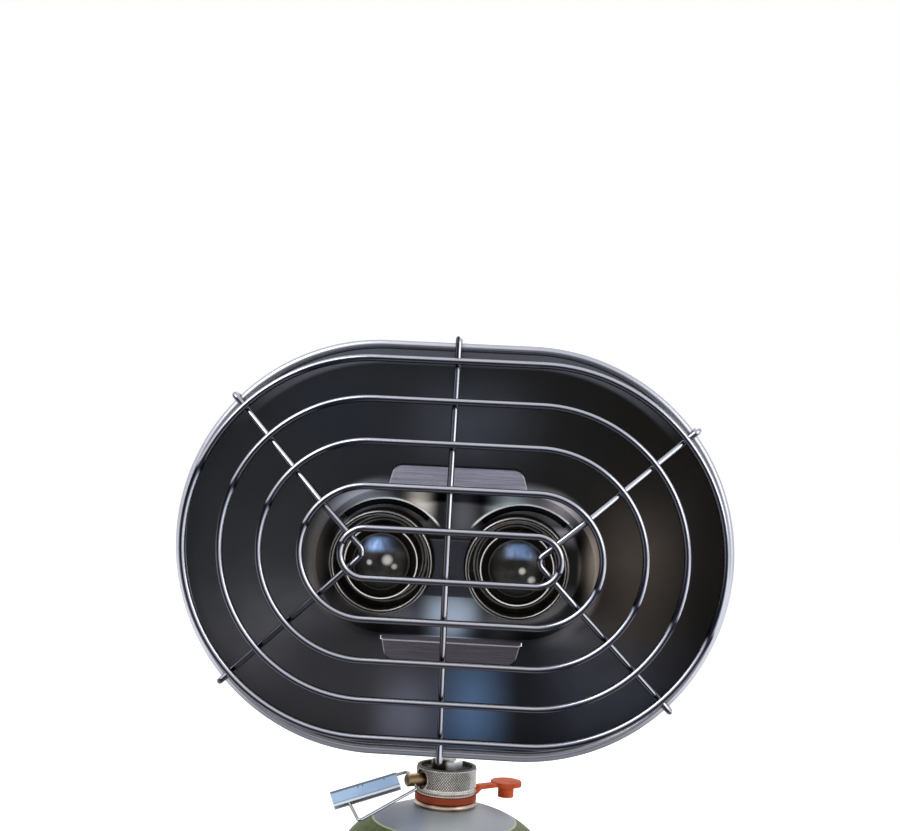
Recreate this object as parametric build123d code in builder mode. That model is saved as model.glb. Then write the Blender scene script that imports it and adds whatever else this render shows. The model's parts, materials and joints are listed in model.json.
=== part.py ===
from build123d import *
import math
import os

os.makedirs("parts", exist_ok=True)

# Twin burner canister heater, millimetres. +Z up, the reflector faces -Y, and the
# origin is the centre of the canister's base, on its axis.

# Clearances
snug = 0.05  # between pieces that are screwed or pressed together
running = 0.06  # round a pin or a spindle that turns
loose = 0.3  # between pieces that pass without touching

# Gas canister, 230 g size, with the 7/16-28 UNEF thread
canister_radius = 54.5
canister_wall = 0.6
side_top = 57.0
shoulder_rise = 29.5
foot_inner_radius = 48.5
foot_outer_radius = 52.0
foot_rim_height = 3.0
foot_height = 6.0
base_rise = 9.0
base_bend_reach = 0.55  # where the base's arc passes, as a share of the foot's radius
base_bend_rise = 0.82  # and of its rise
fuel_level = 28.2
neck_radius = 13.6
neck_seat = 1.0  # of the cup's rim below the crown of the shoulder
cup_rim_radius = 16.5
cup_rim_wire = 1.6
cup_wall = 0.7
cup_depth = 5.0
thread_radius = 5.55
nipple_bore_radius = 4.0
nipple_height = 6.1  # above the top of the cup's rim
core_pin_radius = 1.0
core_recess = 0.5  # of the core below the probe's tip
pin_head_radius = 2.5
pin_head_drop = 3.0
pin_head_height = 2.0

# Valve body with its knurled collar
collar_radius = 15.45
collar_height = 13.6
collar_cup_radius = 13.5
collar_cup_depth = 1.6
collar_groove_height = 2.1
collar_groove_width = 0.7
collar_groove_depth = 0.4
hub_radius = 9.4
hub_length = 6.4
seal_thickness = 1.4
probe_radius = 1.2
probe_length = 5.0

# Valve spindle and folding wire handle
spindle_azimuth = 32.0  # from -X towards the front
spindle_drop = 6.3  # below the top of the collar
spindle_radius = 3.25
spindle_tip_radius = 1.6
spindle_reach = 23.7
spindle_shoulder = 9.5
spindle_turn = 28.0  # of the cross hole, from level
spindle_tip_start = 1.5
spindle_tip_chamfer = 0.7
spindle_end_chamfer = 0.5
gland_radius = 4.6
gland_start = 10.6
gland_end = 14.2
gland_slot_width = 1.2
gland_slot_depth = 1.0
port_radius = 5.2
port_start = 13.2
cross_hole_reach = 20.4
handle_wire_diameter = 1.6
handle_end_gap = 1.2  # between the wire's ends, inside the spindle
handle_length = 34.4
handle_end_width = 22.4
handle_root_width = 13.0
handle_droop = 24.0
grip_length = 35.5
grip_depth = 9.5
grip_sheet = 0.5
grip_start = 6.0

# Dust cap of soft rubber on its ring and strap
cap_ring_radius = 16.2
cap_ring_thickness = 3.2
cap_azimuth = 38.0  # from +X towards the back
cap_reach = 40.5
cap_radius = 8.4
cap_thickness = 2.4
cap_rise = 2.8  # of the cap's underside above the ring
plug_radius = 4.3
plug_length = 6.0
strap_width = 5.0
strap_thickness = 2.0
strap_level_reach = 2.5  # level stretch of the strap beyond the ring
strap_slope_reach = 5.5  # and the end of its slope
strap_bend = 1.5
cap_edge_round = 0.35

# Riser and tilting joint
hinge_height = 161.1
rest_tilt = 3.0  # the reflector looks this far down at rest
riser_radius = 4.75
riser_bore_radius = 2.6
riser_nut_flats = 14.0
riser_nut_height = 5.0
riser_nut_chamfer = 0.6
eye_radius = 8.0
eye_width = 11.9
eye_socket_radius = 5.7
eye_socket_length = 8.0
pivot_radius = 4.0
pivot_seal_radius = 6.0
pivot_seal_wire = 0.8
pivot_seal_room = 0.2  # of the groove, beyond the seal
cheek_thickness = 4.0
cheek_gap = 0.25
clevis_block_start = 9.6
clevis_block_height = 6.0
pivot_head_flats = 13.0
pivot_head_height = 5.0
washer_radius = 7.2
washer_thickness = 0.8

# Head, measured from the middle of the reflector's rim
hinge_drop = 66.0
hinge_depth = 76.0
rim_half_straight = 33.8
rim_radius = 95.5
rim_wire = 2.2
rim_lap = 0.5  # the sheet ends this far inside the middle of the rolled rim
sheet = 0.6
rim_inset = 0.4  # the front skin's narrowing, in sheet thicknesses, at the rim,
edge_inset = 0.45  # at the well's edge
floor_inset = 0.8  # and at its floor
well_half_straight = 33.8
well_drop = 11.0
well_radius = 36.3
well_edge_depth = 38.0
floor_radius = 31.5
floor_depth = 47.0
well_round = 4.0
brow_spacing = 69.6
brow_shift = -0.85  # of both brows along the well
brow_drop = 13.3
brow_inner_radius = 30.0
brow_outer_radius = 33.0
brow_half_angle = 42.0
brow_lip = 0.8
brow_lip_height = 2.2

# Burners
burner_spacing = 67.6
burner_shift = -2.7  # of both burners along the well
burner_flange_radius = 26.3
burner_flange_sheet = 0.8
burner_flange_gap = 0.1  # in front of the well's floor
cup_radius = 24.6
cup_lip_radius = 1.1
cup_sheet = 0.7
cup_lip_depth = 29.0
cup_sink = 1.5  # of the cup's bottom below the floor
ring_radius = 18.3
ring_lip_depth = 31.5
ring_sheet = 0.8
gas_hole_radius = 1.6
gas_hole_circle = 12.5
gas_hole_count = 12
inner_hole_radius = 1.3
inner_hole_circle = 4.2
inner_hole_count = 6
dome_edge_radius = 14.6
dome_radius = 19.0
dome_edge_depth = 34.0
dome_sheet = 0.7
dome_stem_radius = 1.8
gauze_depth = 37.0
gauze_thickness = 1.0
tube_radius = 7.0
tube_wall = 1.3
tube_flange_radius = 9.5
tube_flange_thickness = 1.0
air_window_width = 4.0
air_window_length = 6.0
air_window_back = 1.5  # from the tube's end
spacer_radius = 9.0
jam_nut_flats = 19.0
jam_nut_height = 4.0
bridge_height = 28.5
bridge_half_width = 17.0
bridge_depth = 37.0
bridge_sheet = 0.8
bridge_drop = 2.0  # below the burners' level

# Rear bracket and gas manifold
plate_depth = 56.0
plate_sheet = 1.2
plate_margin = 1.0  # round the openings above the burners
leg_half_width = 35.0
leg_offset = 38.0
leg_sheet = 1.0
tongue_length = 13.5
tongue_round = 6.0
tongue_taper = 3.2  # of each side over the tongue's length
tongue_gap = 0.15
manifold_half_length = 44.0
manifold_side = 12.0
manifold_bore_radius = 3.0
jet_thread_radius = 2.3
plug_head_radius = 4.5
plug_head_height = 3.0
feed_radius = 4.0
jet_flats = 8.0
jet_head_height = 3.5
jet_nozzle_radius = 2.4
jet_nozzle_length = 3.5
jet_bore_radius = 0.4

# Guard, five stadium rings outermost first, and the wires that carry them
guard_half_straight = 38.3
guard_rim_gap = 7.0  # from the outermost ring to the rim
guard_shares = (1.0, 0.786, 0.565, 0.339, 0.127)  # of the outermost ring's radius
guard_heights = (7.6, 14.6, 21.6, 29.0, 31.6)
ring_wire_diameter = 3.3
cross_wire_diameter = 3.0
hook_clearance = 0.1
centre_wire_shift = -1.7
left_spread = (45.2, 44.4)  # of the side wires' legs from level, upper and lower
right_spread = (40.1, 46.4)
hook_curl = 0.4  # of the wire's end, past the middle of the rim
wire_bends = (2.4, 2.4, 12, 12, 12, 12, 8)  # from the hook to the innermost ring
apex_lift = 0.4
apex_bends = (4, 4, 4)

# Heights that follow
canister_top = side_top + shoulder_rise
cup_rim_height = canister_top - neck_seat + 2 * cup_rim_wire
cup_floor_height = cup_rim_height - cup_rim_wire - cup_depth
nipple_top = cup_rim_height + nipple_height
cap_ring_bottom = cup_rim_height + loose
collar_bottom = cap_ring_bottom + cap_ring_thickness + loose
collar_top = collar_bottom + collar_height
collar_floor = collar_top - collar_cup_depth
hub_bottom = collar_bottom - hub_length
seal_bottom = nipple_top + snug
probe_top = seal_bottom + seal_thickness + snug
spindle_height = collar_top - spindle_drop
guard_radii = [share * (rim_radius - guard_rim_gap) for share in guard_shares]


# Canister
def canister_outline(inset):
    """One half of the canister's section, drawn inside its skin by inset."""
    side = canister_radius - inset
    foot = foot_outer_radius - inset
    heel = (foot_inner_radius + inset, inset)
    with BuildLine() as outline:
        crown = EllipticalCenterArc(
            (0, side_top), side, shoulder_rise - inset, start_angle=0, arc_size=90
        )
        Line(crown @ 1, (0, base_rise + inset))
        hollow = ThreePointArc(
            (0, base_rise + inset),
            (foot_inner_radius * base_bend_reach, (base_rise + inset) * base_bend_rise),
            heel,
        )
        ground = Line(hollow @ 1, (foot, inset))
        rim = Line(ground @ 1, (foot, foot_rim_height + inset))
        corner = Line(rim @ 1, (side, foot_height + inset))
        Line(corner @ 1, crown @ 0)
    make_face(outline.edges())


with BuildPart() as canister_body:
    with BuildSketch(Plane.XZ):
        canister_outline(0)
    revolve(axis=Axis.Z)
    with BuildSketch(Plane.XZ):
        canister_outline(canister_wall)
    revolve(axis=Axis.Z, mode=Mode.SUBTRACT)
    with BuildSketch(Plane.XY.offset(canister_top - 4)):
        Circle(neck_radius)
    extrude(amount=8, mode=Mode.SUBTRACT)
canister_body.part.label = "canister_body"
export_step(canister_body.part, "parts/canister_body.step")

with BuildPart() as canister_fuel:
    with BuildSketch(Plane.XZ):
        canister_outline(canister_wall)
        with Locations((0, fuel_level)):
            Rectangle(2 * canister_radius, 2 * canister_top, align=(Align.CENTER, Align.MIN),
                      mode=Mode.SUBTRACT)
    revolve(axis=Axis.Z)
canister_fuel.part.label = "canister_fuel"
export_step(canister_fuel.part, "parts/canister_fuel.step")

with BuildPart() as canister_valve_cup:
    with BuildSketch(Plane.XZ):
        with Locations((cup_rim_radius - cup_rim_wire, cup_rim_height - cup_rim_wire)):
            Circle(cup_rim_wire)
        with Locations((neck_radius - snug - cup_wall, cup_floor_height)):
            Rectangle(cup_wall, cup_depth, align=Align.MIN)
        with Locations((nipple_bore_radius, cup_floor_height)):
            Rectangle(neck_radius - snug - nipple_bore_radius, cup_wall, align=Align.MIN)
        with Locations((nipple_bore_radius, cup_floor_height)):
            Rectangle(thread_radius - nipple_bore_radius, nipple_top - cup_floor_height,
                      align=Align.MIN)
    revolve(axis=Axis.Z)
canister_valve_cup.part.label = "canister_valve_cup"
export_step(canister_valve_cup.part, "parts/canister_valve_cup.step")

core_top = nipple_top - probe_length - core_recess
pin_bottom = cup_floor_height - pin_head_drop
pin_top = seal_bottom + seal_thickness - probe_length

with BuildPart() as canister_valve_core:
    with BuildSketch(Plane.XY.offset(cup_floor_height)):
        Circle(nipple_bore_radius - snug)
        Circle(core_pin_radius + running, mode=Mode.SUBTRACT)
    extrude(amount=core_top - cup_floor_height)
canister_valve_core.part.label = "canister_valve_core"
export_step(canister_valve_core.part, "parts/canister_valve_core.step")

with BuildPart() as canister_valve_pin:
    with BuildSketch(Plane.XY.offset(pin_bottom)):
        Circle(core_pin_radius)
    extrude(amount=pin_top - pin_bottom)
    with BuildSketch(Plane.XY.offset(pin_bottom)):
        Circle(pin_head_radius)
    extrude(amount=pin_head_height)
canister_valve_pin.part.label = "canister_valve_pin"
export_step(canister_valve_pin.part, "parts/canister_valve_pin.step")

# Valve body: hub, collar and ports
azimuth = math.radians(spindle_azimuth)
turn = math.radians(spindle_turn)
spindle_direction = Vector(-math.cos(azimuth), -math.sin(azimuth), 0)
level_across = Vector(-math.sin(azimuth), math.cos(azimuth), 0)
cross_direction = level_across * math.cos(turn) + Vector(0, 0, 1) * math.sin(turn)
spindle_plane = Plane(
    origin=(0, 0, spindle_height), x_dir=cross_direction, z_dir=spindle_direction
)
groove_bottom = collar_bottom + collar_groove_height

with BuildPart() as valve_body:
    with BuildSketch(Plane.XY.offset(hub_bottom)):
        Circle(hub_radius)
    extrude(amount=hub_length + 1)
    with BuildSketch(Plane.XY.offset(collar_bottom)):
        Circle(collar_radius)
    extrude(amount=collar_height)
    with BuildSketch(Plane.XY.offset(groove_bottom)):
        Circle(collar_radius + 1)
        Circle(collar_radius - collar_groove_depth, mode=Mode.SUBTRACT)
    extrude(amount=collar_groove_width, mode=Mode.SUBTRACT)
    with BuildSketch(Plane.XY.offset(collar_floor)):
        Circle(collar_cup_radius)
    extrude(amount=collar_cup_depth, mode=Mode.SUBTRACT)
    with BuildSketch(Plane.XY.offset(hub_bottom)):
        Circle(thread_radius + 2 * snug)
    extrude(amount=probe_top - snug - hub_bottom, mode=Mode.SUBTRACT)
    with BuildSketch(Plane.XY.offset(probe_top - 1)):
        Circle(probe_radius)
    extrude(amount=2, mode=Mode.SUBTRACT)
    with BuildSketch(Plane.XY.offset(spindle_height)):
        Circle(riser_bore_radius)
    extrude(amount=collar_top - spindle_height, mode=Mode.SUBTRACT)
    with BuildSketch(spindle_plane):
        Circle(spindle_tip_radius + running)
    extrude(amount=collar_radius, mode=Mode.SUBTRACT)
    with BuildSketch(spindle_plane.offset(spindle_shoulder - running)):
        Circle(spindle_radius + running)
    extrude(amount=collar_radius, mode=Mode.SUBTRACT)
    with BuildSketch(spindle_plane.offset(gland_start)):
        Circle(gland_radius)
    extrude(amount=collar_radius, mode=Mode.SUBTRACT)
    with BuildSketch(spindle_plane.offset(port_start)):
        Circle(port_radius)
    extrude(amount=collar_radius, mode=Mode.SUBTRACT)
valve_body.part.label = "valve_body"
export_step(valve_body.part, "parts/valve_body.step")

with BuildPart() as thread_seal:
    with BuildSketch(Plane.XY.offset(seal_bottom)):
        Circle(thread_radius + snug)
        Circle(probe_radius + loose, mode=Mode.SUBTRACT)
    extrude(amount=seal_thickness)
thread_seal.part.label = "thread_seal"
export_step(thread_seal.part, "parts/thread_seal.step")

with BuildPart() as valve_probe:
    with BuildSketch(Plane.XY.offset(probe_top + 1)):
        Circle(probe_radius)
    extrude(amount=-probe_length - 1)
valve_probe.part.label = "valve_probe"
export_step(valve_probe.part, "parts/valve_probe.step")

with BuildPart() as spindle_gland:
    with BuildSketch(spindle_plane.offset(gland_start)):
        Circle(gland_radius - snug)
        Circle(spindle_radius + running, mode=Mode.SUBTRACT)
    extrude(amount=gland_end - gland_start)
    with BuildSketch(spindle_plane.offset(gland_end - gland_slot_depth)):
        Rectangle(2 * gland_radius, gland_slot_width)
    extrude(amount=gland_slot_depth, mode=Mode.SUBTRACT)
spindle_gland.part.label = "spindle_gland"
export_step(spindle_gland.part, "parts/spindle_gland.step")

# Spindle, wire handle and grip
wire_radius = handle_wire_diameter / 2
with BuildPart() as valve_spindle:
    with BuildSketch(spindle_plane.offset(spindle_tip_start)):
        Circle(spindle_tip_radius)
    extrude(amount=spindle_shoulder - spindle_tip_start)
    with BuildSketch(spindle_plane.offset(spindle_shoulder)):
        Circle(spindle_radius)
    extrude(amount=spindle_reach - spindle_shoulder)
    outwards = Axis((0, 0, 0), spindle_direction)
    chamfer(valve_spindle.faces().sort_by(outwards)[-1].edges(), spindle_end_chamfer)
    chamfer(valve_spindle.faces().sort_by(outwards)[0].edges(), spindle_tip_chamfer)
    with BuildSketch(Plane(
        origin=spindle_plane.from_local_coords((0, 0, cross_hole_reach)),
        x_dir=spindle_direction,
        z_dir=cross_direction,
    )):
        Circle(wire_radius + running)
    extrude(amount=spindle_radius + 1, both=True, mode=Mode.SUBTRACT)
valve_spindle.part.label = "valve_spindle"
export_step(valve_spindle.part, "parts/valve_spindle.step")

droop = math.radians(handle_droop)
leg_direction = spindle_plane.z_dir * math.cos(droop) + spindle_plane.y_dir * math.sin(droop)
handle_plane = Plane(
    origin=spindle_plane.from_local_coords((0, 0, cross_hole_reach)),
    x_dir=cross_direction,
    z_dir=cross_direction.cross(leg_direction),
)
half_root = handle_root_width / 2
half_end = handle_end_width / 2
half_gap = handle_end_gap / 2

with BuildPart() as handle_wire:
    with BuildLine(handle_plane) as loop:
        FilletPolyline(
            (-half_gap, 0), (-half_root, 0), (-half_end, handle_length),
            (half_end, handle_length), (half_root, 0), (half_gap, 0),
            radius=2 * wire_radius,
        )
    with BuildSketch(Plane(origin=loop.line @ 0, z_dir=loop.line % 0)):
        Circle(wire_radius)
    sweep()
handle_wire.part.label = "handle_wire"
export_step(handle_wire.part, "parts/handle_wire.step")

leg_angle = math.atan2(half_end - half_root, handle_length)
grip_along = handle_plane.y_dir * math.cos(leg_angle) + handle_plane.x_dir * math.sin(leg_angle)
grip_plane = Plane(
    origin=handle_plane.from_local_coords((half_root, 0, 0)) + grip_along * grip_start,
    x_dir=handle_plane.z_dir,
    z_dir=grip_along,
)
inward = -1 if grip_plane.y_dir.dot(handle_plane.x_dir) > 0 else 1
channel = wire_radius + snug

with BuildPart() as handle_grip:
    with BuildSketch(grip_plane):
        Circle(channel + grip_sheet)
        with Locations((0, inward * grip_depth / 2)):
            Rectangle(2 * (channel + grip_sheet), grip_depth)
        Circle(channel, mode=Mode.SUBTRACT)
        with Locations((0, inward * grip_depth / 2)):
            Rectangle(2 * channel, grip_depth, mode=Mode.SUBTRACT)
    extrude(amount=grip_length)
handle_grip.part.label = "handle_grip"
export_step(handle_grip.part, "parts/handle_grip.step")

# Dust cap: ring round the hub, strap and cap in one moulding
cap_angle = math.radians(cap_azimuth)
cap_direction = Vector(math.cos(cap_angle), math.sin(cap_angle), 0)
strap_plane = Plane(
    origin=(0, 0, 0), x_dir=cap_direction, z_dir=cap_direction.cross(Vector(0, 0, 1))
)
cap_bottom = cap_ring_bottom + cap_rise
ring_middle = cap_ring_bottom + cap_ring_thickness / 2

with BuildPart() as dust_cap:
    with BuildSketch(Plane.XY.offset(cap_ring_bottom)):
        Circle(cap_ring_radius)
        Circle(hub_radius + loose, mode=Mode.SUBTRACT)
    extrude(amount=cap_ring_thickness)
    with BuildSketch(strap_plane):
        with BuildLine():
            FilletPolyline(
                (cap_ring_radius - 1, ring_middle),
                (cap_ring_radius + strap_level_reach, ring_middle),
                (cap_ring_radius + strap_slope_reach, cap_bottom + strap_thickness / 2),
                (cap_reach - cap_radius + 1, cap_bottom + strap_thickness / 2),
                radius=strap_bend,
            )
        trace(line_width=strap_thickness)
    extrude(amount=strap_width / 2, both=True)
    with BuildSketch(Plane(origin=cap_direction * cap_reach + Vector(0, 0, cap_bottom))):
        Circle(cap_radius)
    extrude(amount=cap_thickness)
    fillet(dust_cap.faces().sort_by(Axis.Z)[-1].edges(), cap_edge_round)
    with BuildSketch(Plane(origin=cap_direction * cap_reach + Vector(0, 0, cap_bottom))):
        Circle(plug_radius)
    extrude(amount=-plug_length)
dust_cap.part.label = "dust_cap"
export_step(dust_cap.part, "parts/dust_cap.step")

# Head frame: x to the right, y up the rim's plane, z out of the reflector's mouth
tilt = math.radians(rest_tilt)
mouth = Vector(0, -math.cos(tilt), -math.sin(tilt))
hinge_plane = Plane(origin=(0, 0, hinge_height), x_dir=(1, 0, 0), z_dir=mouth)
head = Plane(
    origin=hinge_plane.from_local_coords((0, hinge_drop, hinge_depth)),
    x_dir=(1, 0, 0),
    z_dir=mouth,
)


def side_plane(across):
    """Plane at x = across, with its x up the head and its y out of the mouth."""
    return Plane(
        origin=head.from_local_coords((across, 0, 0)), x_dir=head.y_dir, z_dir=(1, 0, 0)
    )


def turning_plane(across):
    """Plane through a burner's axis, with x outwards and y out of the mouth."""
    return Plane(
        origin=head.from_local_coords((across, -well_drop, 0)),
        x_dir=(1, 0, 0),
        z_dir=head.y_dir * -1,
    )


def burner_axis(across):
    return Axis(head.from_local_coords((across, -well_drop, 0)), head.z_dir)


def step_ring(inner, outer, back, front):
    """Rectangle of a turned piece, from inner to outer radius and back to front depth."""
    with Locations(((inner + outer) / 2, -(back + front) / 2)):
        Rectangle(outer - inner, back - front)


# Riser and pivot
with BuildPart() as riser_tube:
    with BuildSketch(Plane.XY.offset(collar_floor)):
        Circle(riser_radius)
        Circle(riser_bore_radius, mode=Mode.SUBTRACT)
    extrude(amount=hinge_height - eye_radius - collar_floor)
riser_tube.part.label = "riser_tube"
export_step(riser_tube.part, "parts/riser_tube.step")

with BuildPart() as riser_nut:
    with BuildSketch(Plane.XY.offset(collar_floor)):
        RegularPolygon(riser_nut_flats / 2, 6, major_radius=False)
        Circle(riser_radius + snug, mode=Mode.SUBTRACT)
    extrude(amount=riser_nut_height)
    chamfer(riser_nut.faces().sort_by(Axis.Z)[-1].outer_wire().edges(), riser_nut_chamfer)
riser_nut.part.label = "riser_nut"
export_step(riser_nut.part, "parts/riser_nut.step")

cheek_inner = eye_width / 2 + cheek_gap
cheek_outer = cheek_inner + cheek_thickness
hinge_spot = (-hinge_drop, -hinge_depth)

with BuildPart() as riser_eye:
    with BuildSketch(Plane.XY.offset(hinge_height - eye_radius - eye_socket_length)):
        Circle(eye_socket_radius)
    extrude(amount=eye_socket_length + 0.5 * eye_radius)
    with BuildSketch(side_plane(-eye_width / 2)):
        with Locations(hinge_spot):
            Circle(eye_radius)
    extrude(amount=eye_width)
    with BuildSketch(side_plane(-eye_width / 2)):
        with Locations(hinge_spot):
            Circle(pivot_radius + running)
    extrude(amount=eye_width, mode=Mode.SUBTRACT)
    for face_spot, inwards in ((-eye_width / 2, 1), (eye_width / 2, -1)):
        with BuildSketch(side_plane(face_spot)):
            with Locations(hinge_spot):
                Circle(pivot_seal_radius + pivot_seal_wire + snug)
                Circle(pivot_seal_radius - pivot_seal_wire - snug, mode=Mode.SUBTRACT)
        extrude(amount=inwards * (2 * pivot_seal_wire - cheek_gap + pivot_seal_room), mode=Mode.SUBTRACT)
    with BuildSketch(Plane.XY.offset(hinge_height - eye_radius - eye_socket_length)):
        Circle(riser_radius + snug)
    extrude(amount=eye_socket_length + snug, mode=Mode.SUBTRACT)
    with BuildSketch(Plane.XY.offset(hinge_height - eye_radius)):
        Circle(riser_bore_radius)
    extrude(amount=eye_radius, mode=Mode.SUBTRACT)
riser_eye.part.label = "riser_eye"
export_step(riser_eye.part, "parts/riser_eye.step")

with BuildPart() as pivot_seals:
    for seal_spot in (-1, 1):
        spot = seal_spot * (cheek_inner - snug - pivot_seal_wire)
        with BuildSketch(Plane(
            origin=head.from_local_coords((spot, -hinge_drop, -hinge_depth)),
            x_dir=(1, 0, 0),
            z_dir=head.y_dir * -1,
        )):
            with Locations((0, pivot_seal_radius)):
                Circle(pivot_seal_wire)
        revolve(axis=Axis(head.from_local_coords((0, -hinge_drop, -hinge_depth)), (1, 0, 0)))
pivot_seals.part.label = "pivot_seals"
export_step(pivot_seals.part, "parts/pivot_seals.step")

clevis_top = clevis_block_start + clevis_block_height
with BuildPart() as head_clevis:
    with BuildSketch(side_plane(-cheek_outer)):
        with Locations(hinge_spot):
            Circle(eye_radius)
        with Locations((-hinge_drop + clevis_top / 2, -hinge_depth)):
            Rectangle(clevis_top, 2 * eye_radius)
        with Locations(hinge_spot):
            Circle(pivot_radius + snug, mode=Mode.SUBTRACT)
    extrude(amount=2 * cheek_outer)
    with BuildSketch(side_plane(-cheek_inner)):
        with Locations((-hinge_drop, -hinge_depth)):
            Rectangle(2 * clevis_block_start, 4 * eye_radius)
    extrude(amount=2 * cheek_inner, mode=Mode.SUBTRACT)
    with BuildSketch(Plane(
        origin=head.from_local_coords((0, -hinge_drop, -hinge_depth)),
        x_dir=(1, 0, 0),
        z_dir=head.y_dir,
    )):
        Circle(riser_bore_radius)
    extrude(amount=clevis_top + 1, mode=Mode.SUBTRACT)
head_clevis.part.label = "head_clevis"
export_step(head_clevis.part, "parts/head_clevis.step")

washer_outer = cheek_outer + washer_thickness
with BuildPart() as pivot_bolt:
    with BuildSketch(side_plane(-washer_outer - pivot_head_height)):
        with Locations(hinge_spot):
            RegularPolygon(pivot_head_flats / 2, 6, major_radius=False)
    extrude(amount=pivot_head_height)
    with BuildSketch(side_plane(-washer_outer)):
        with Locations(hinge_spot):
            Circle(pivot_radius)
    extrude(amount=2 * washer_outer + pivot_head_height - 1)
pivot_bolt.part.label = "pivot_bolt"
export_step(pivot_bolt.part, "parts/pivot_bolt.step")

with BuildPart() as pivot_nut:
    with BuildSketch(side_plane(washer_outer)):
        with Locations(hinge_spot):
            RegularPolygon(pivot_head_flats / 2, 6, major_radius=False)
            Circle(pivot_radius + snug, mode=Mode.SUBTRACT)
    extrude(amount=pivot_head_height)
pivot_nut.part.label = "pivot_nut"
export_step(pivot_nut.part, "parts/pivot_nut.step")

with BuildPart() as pivot_washers:
    for washer_spot in (-washer_outer, cheek_outer):
        with BuildSketch(side_plane(washer_spot)):
            with Locations(hinge_spot):
                Circle(washer_radius)
                Circle(pivot_radius + snug, mode=Mode.SUBTRACT)
        extrude(amount=washer_thickness)
pivot_washers.part.label = "pivot_washers"
export_step(pivot_washers.part, "parts/pivot_washers.step")

# Manifold, feed pipe and jets
burner_spots = [
    (side * burner_spacing / 2 + burner_shift, -well_drop) for side in (-1, 1)
]
tube_back = hinge_depth - manifold_side / 2
manifold_bottom = -well_drop - manifold_side / 2
feed_start = -hinge_drop + clevis_top

with BuildPart() as feed_pipe:
    with BuildSketch(Plane(
        origin=head.from_local_coords((0, feed_start, -hinge_depth)),
        x_dir=(1, 0, 0),
        z_dir=head.y_dir,
    )):
        Circle(feed_radius)
        Circle(riser_bore_radius, mode=Mode.SUBTRACT)
    extrude(amount=manifold_bottom - feed_start)
feed_pipe.part.label = "feed_pipe"
export_step(feed_pipe.part, "parts/feed_pipe.step")

with BuildPart() as manifold:
    with BuildSketch(side_plane(-manifold_half_length)):
        with Locations((-well_drop, -hinge_depth)):
            RectangleRounded(manifold_side, manifold_side, 1)
    extrude(amount=2 * manifold_half_length)
    with BuildSketch(side_plane(-manifold_half_length)):
        with Locations((-well_drop, -hinge_depth)):
            Circle(manifold_bore_radius)
    extrude(amount=2 * manifold_half_length, mode=Mode.SUBTRACT)
    with BuildSketch(Plane(
        origin=head.from_local_coords((0, manifold_bottom, -hinge_depth)),
        x_dir=(1, 0, 0),
        z_dir=head.y_dir,
    )):
        Circle(riser_bore_radius)
    extrude(amount=manifold_side / 2, mode=Mode.SUBTRACT)
    with BuildSketch(head.offset(-tube_back)):
        with Locations(*burner_spots):
            Circle(jet_thread_radius + snug)
    extrude(amount=-manifold_side / 2, mode=Mode.SUBTRACT)
manifold.part.label = "manifold"
export_step(manifold.part, "parts/manifold.step")

with BuildPart() as manifold_plugs:
    for plug_side in (-1, 1):
        with BuildSketch(side_plane(plug_side * manifold_half_length)):
            with Locations((-well_drop, -hinge_depth)):
                Circle(plug_head_radius)
        extrude(amount=plug_side * plug_head_height)
        with BuildSketch(side_plane(plug_side * manifold_half_length)):
            with Locations((-well_drop, -hinge_depth)):
                Circle(manifold_bore_radius - snug)
        extrude(amount=-plug_side * 2 * plug_head_height)
manifold_plugs.part.label = "manifold_plugs"
export_step(manifold_plugs.part, "parts/manifold_plugs.step")

# Reflector: one deep drawn sheet with a rolled rim and a well for the burners
rim_bottom_radius = rim_radius - rim_lap
slope_top = math.atan2(well_edge_depth, rim_bottom_radius + well_drop - well_radius)
slope_bottom = math.atan2(well_edge_depth, rim_bottom_radius - well_drop - well_radius)

def brow_band(burner_side, inner, outer):
    """Arc band above a burner, between two radii."""
    reach = 2 * outer
    flare = reach * math.tan(math.radians(brow_half_angle))
    with Locations((burner_side * brow_spacing / 2 + brow_shift, -brow_drop)):
        Circle(outer)
        Circle(inner, mode=Mode.SUBTRACT)
        Polygon((0, 0), (flare, reach), (-flare, reach), align=None, mode=Mode.INTERSECT)


mouth_order = Axis(head.origin, head.z_dir)
reflector_forms = []
for skin, bend in ((0, well_round + sheet), (sheet, well_round)):
    with BuildPart() as reflector_form:
        with BuildSketch(head.offset(skin)):
            SlotCenterToCenter(2 * rim_half_straight, 2 * (rim_bottom_radius - rim_inset * skin))
        with BuildSketch(head.offset(skin - well_edge_depth)):
            with Locations((0, -well_drop)):
                SlotCenterToCenter(2 * well_half_straight, 2 * (well_radius - edge_inset * skin))
        loft()
        with BuildSketch(head.offset(skin - well_edge_depth)):
            with Locations((0, -well_drop)):
                SlotCenterToCenter(2 * well_half_straight, 2 * (well_radius - edge_inset * skin))
        with BuildSketch(head.offset(skin - floor_depth)):
            with Locations((0, -well_drop)):
                SlotCenterToCenter(2 * well_half_straight, 2 * (floor_radius - floor_inset * skin))
        loft()
        fillet(reflector_form.faces().sort_by(mouth_order)[0].edges(), bend)
    reflector_forms.append(reflector_form.part)

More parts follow.
